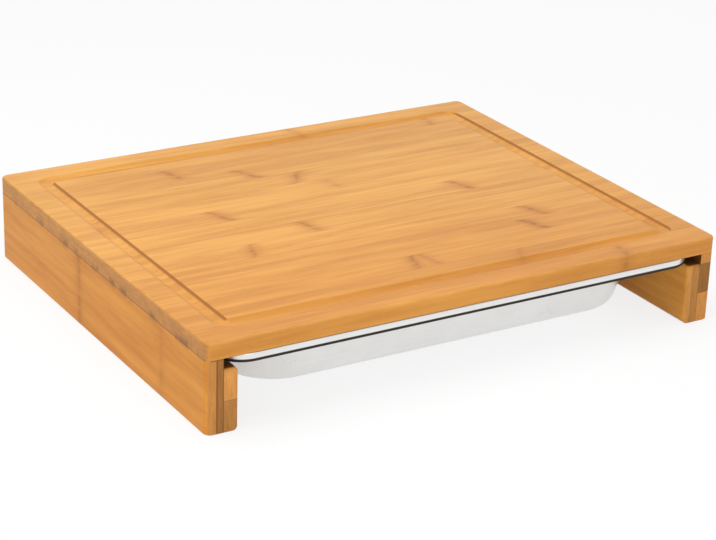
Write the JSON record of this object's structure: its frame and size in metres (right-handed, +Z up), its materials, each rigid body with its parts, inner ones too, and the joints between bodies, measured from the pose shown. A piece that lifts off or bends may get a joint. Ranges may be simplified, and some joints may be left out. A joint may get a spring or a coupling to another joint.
{
  "type": "cutting board with drawer tray",
  "caption": "Bamboo cutting board with a juice groove, raised on two side legs, with a pressed steel tray that slides out from under it.",
  "frame": {"origin": "on the table, under the middle of the board", "axes": "+X to the right along the staves, +Y to the back, +Z up; the tray pulls out towards -Y"},
  "size_m": [0.38, 0.314, 0.06],
  "materials": {
    "board_bamboo": "oiled bamboo, satin",
    "leg_bamboo": "oiled bamboo, satin",
    "dowel_beech": "plain beech",
    "tray_steel": "satin stainless steel"
  },
  "bodies": {
    "stand": {"top_stave_01": "board_bamboo", "top_stave_02": "board_bamboo", "top_stave_03": "board_bamboo", "top_stave_04": "board_bamboo", "top_stave_05": "board_bamboo", "top_stave_06": "board_bamboo", "top_stave_07": "board_bamboo", "top_stave_08": "board_bamboo", "top_stave_09": "board_bamboo", "top_stave_10": "board_bamboo", "top_stave_11": "board_bamboo", "top_stave_12": "board_bamboo", "top_stave_13": "board_bamboo", "top_stave_14": "board_bamboo", "top_stave_15": "board_bamboo", "left_side_outer_ply": "leg_bamboo", "left_side_inner_ply": "leg_bamboo", "left_rail_lower_stave": "leg_bamboo", "left_rail_upper_stave": "leg_bamboo", "right_side_lower_stave": "leg_bamboo", "right_side_middle_stave": "leg_bamboo", "right_side_upper_stave": "leg_bamboo", "right_rail_outer_ply": "leg_bamboo", "right_rail_inner_ply": "leg_bamboo", "rear_stop_bar": "leg_bamboo", "left_board_dowels": "dowel_beech", "left_rail_dowels": "dowel_beech", "left_bar_dowel": "dowel_beech", "right_board_dowels": "dowel_beech", "right_rail_dowels": "dowel_beech", "right_bar_dowel": "dowel_beech"},
    "tray": {"tray": "tray_steel"}
  },
  "joints": [
    {"name": "tray_slide", "type": "slide", "parent": "stand", "child": "tray", "axis": [0, -1, 0], "range_m": [0, 0.28]}
  ]
}
